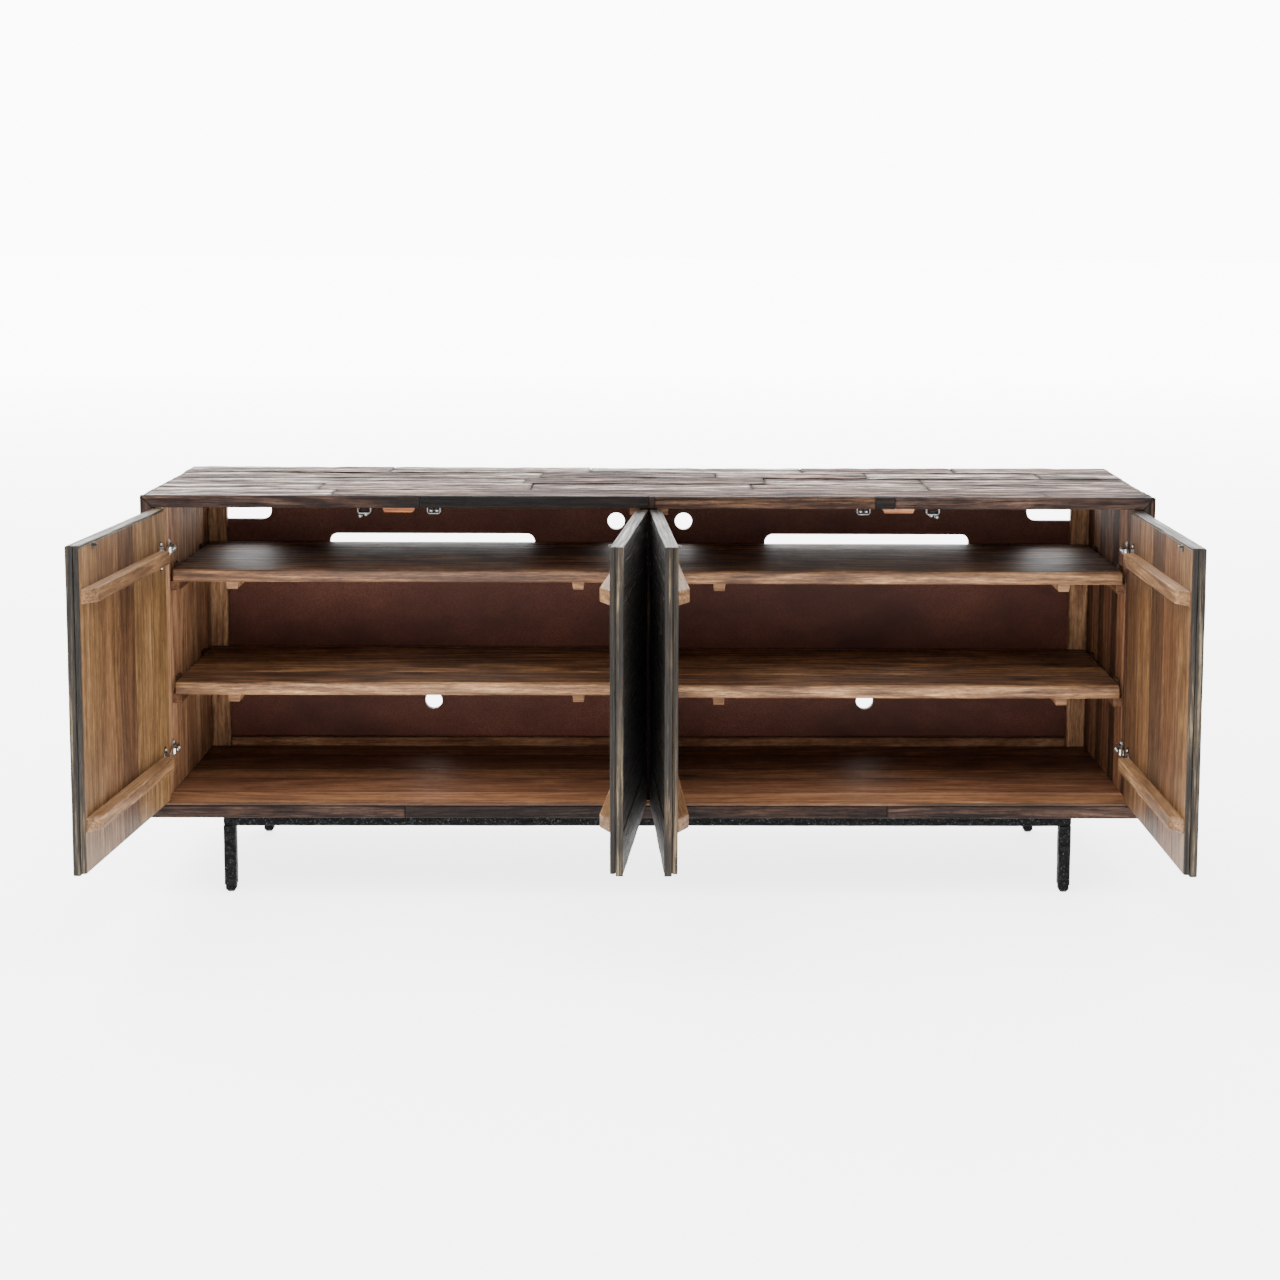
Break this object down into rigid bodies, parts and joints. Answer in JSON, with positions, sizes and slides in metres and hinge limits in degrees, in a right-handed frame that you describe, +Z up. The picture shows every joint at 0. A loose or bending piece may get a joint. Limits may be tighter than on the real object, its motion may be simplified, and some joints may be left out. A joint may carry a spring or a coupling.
{
  "type": "sideboard buffet",
  "caption": "Long low reclaimed-wood sideboard with hinged doors, shelves in two bays, a pierced back and a square-bar iron base.",
  "frame": {"origin": "middle of the whole outline, open doors included, on the floor", "axes": "+X to the viewer's right along the case, +Y from the doors towards the back, +Z up"},
  "size_m": [2.0218, 0.9826, 0.813],
  "materials": {
    "weathered_top": "rough weathered reclaimed boards, grey-brown, open grain",
    "weathered_dark": "rough weathered reclaimed boards, dark grey-brown",
    "charcoal_wood": "rough charcoal-brown reclaimed boards",
    "natural_wood": "oiled solid wood, warm brown",
    "door_inner_wood": "oiled edge-glued solid wood of mixed tones",
    "shelf_wood": "satin varnished solid wood, dark brown",
    "pale_wood": "oiled pale wood",
    "back_board": "stained red-brown board",
    "hammered_iron": "black hammered paint on forged square bar",
    "nickel": "nickel-plated stamped steel",
    "catch_metal": "zinc-plated sheet steel"
  },
  "bodies": {
    "root": {"top_panel": "weathered_top", "bottom_panel": "weathered_dark", "side_panel_left": "weathered_dark", "side_panel_right": "weathered_dark", "floor_lining": "shelf_wood", "side_lining_left": "natural_wood", "side_lining_right": "natural_wood", "centre_divider": "natural_wood", "back_panel_left": "back_board", "back_stile_left": "natural_wood", "back_panel_right": "back_board", "back_stile_right": "natural_wood", "back_rail": "natural_wood", "shelf_left_lower": "shelf_wood", "cleat_left_lower_outer": "natural_wood", "cleat_left_lower_inner": "natural_wood", "shelf_left_upper": "shelf_wood", "cleat_left_upper_outer": "natural_wood", "cleat_left_upper_inner": "natural_wood", "shelf_right_lower": "shelf_wood", "cleat_right_lower_outer": "natural_wood", "cleat_right_lower_inner": "natural_wood", "shelf_right_upper": "shelf_wood", "cleat_right_upper_outer": "natural_wood", "cleat_right_upper_inner": "natural_wood", "base_frame": "hammered_iron", "leg_front_left": "hammered_iron", "leg_rear_left": "hammered_iron", "leg_front_right": "hammered_iron", "leg_rear_right": "hammered_iron", "hinge_arm_left_outer_lower": "nickel", "hinge_arm_left_centre_lower": "nickel", "hinge_arm_left_outer_upper": "nickel", "hinge_arm_left_centre_upper": "nickel", "catch_left_centre": "catch_metal", "catch_left_outer": "catch_metal", "stop_block_left": "pale_wood", "hinge_arm_right_outer_lower": "nickel", "hinge_arm_right_centre_lower": "nickel", "hinge_arm_right_outer_upper": "nickel", "hinge_arm_right_centre_upper": "nickel", "catch_right_centre": "catch_metal", "catch_right_outer": "catch_metal", "stop_block_right": "pale_wood"},
    "door_left_outer": {"door_left_outer_front": "charcoal_wood", "door_left_outer_inner": "door_inner_wood", "door_left_outer_batten_lower": "pale_wood", "door_left_outer_batten_upper": "pale_wood"},
    "door_left_centre": {"door_left_centre_front": "charcoal_wood", "door_left_centre_inner": "door_inner_wood", "door_left_centre_batten_lower": "pale_wood", "door_left_centre_batten_upper": "pale_wood"},
    "door_right_centre": {"door_right_centre_front": "charcoal_wood", "door_right_centre_inner": "door_inner_wood", "door_right_centre_batten_lower": "pale_wood", "door_right_centre_batten_upper": "pale_wood"},
    "door_right_outer": {"door_right_outer_front": "charcoal_wood", "door_right_outer_inner": "door_inner_wood", "door_right_outer_batten_lower": "pale_wood", "door_right_outer_batten_upper": "pale_wood"}
  },
  "joints": [
    {"name": "door_left_outer_hinge", "type": "hinge", "parent": "root", "child": "door_left_outer", "pos_m": [-0.97011, -0.00373, 0.49], "axis": [0, 0, 1], "range_deg": [-15.2, 94.8]},
    {"name": "door_left_centre_hinge", "type": "hinge", "parent": "root", "child": "door_left_centre", "pos_m": [0.00639, -0.00373, 0.49], "axis": [0, 0, 1], "range_deg": [-85.2, 2.8]},
    {"name": "door_right_centre_hinge", "type": "hinge", "parent": "root", "child": "door_right_centre", "pos_m": [0.00939, -0.00373, 0.49], "axis": [0, 0, 1], "range_deg": [-1.5, 86.5]},
    {"name": "door_right_outer_hinge", "type": "hinge", "parent": "root", "child": "door_right_outer", "pos_m": [0.98589, -0.00373, 0.49], "axis": [0, 0, 1], "range_deg": [-90.5, 19.5]}
  ]
}
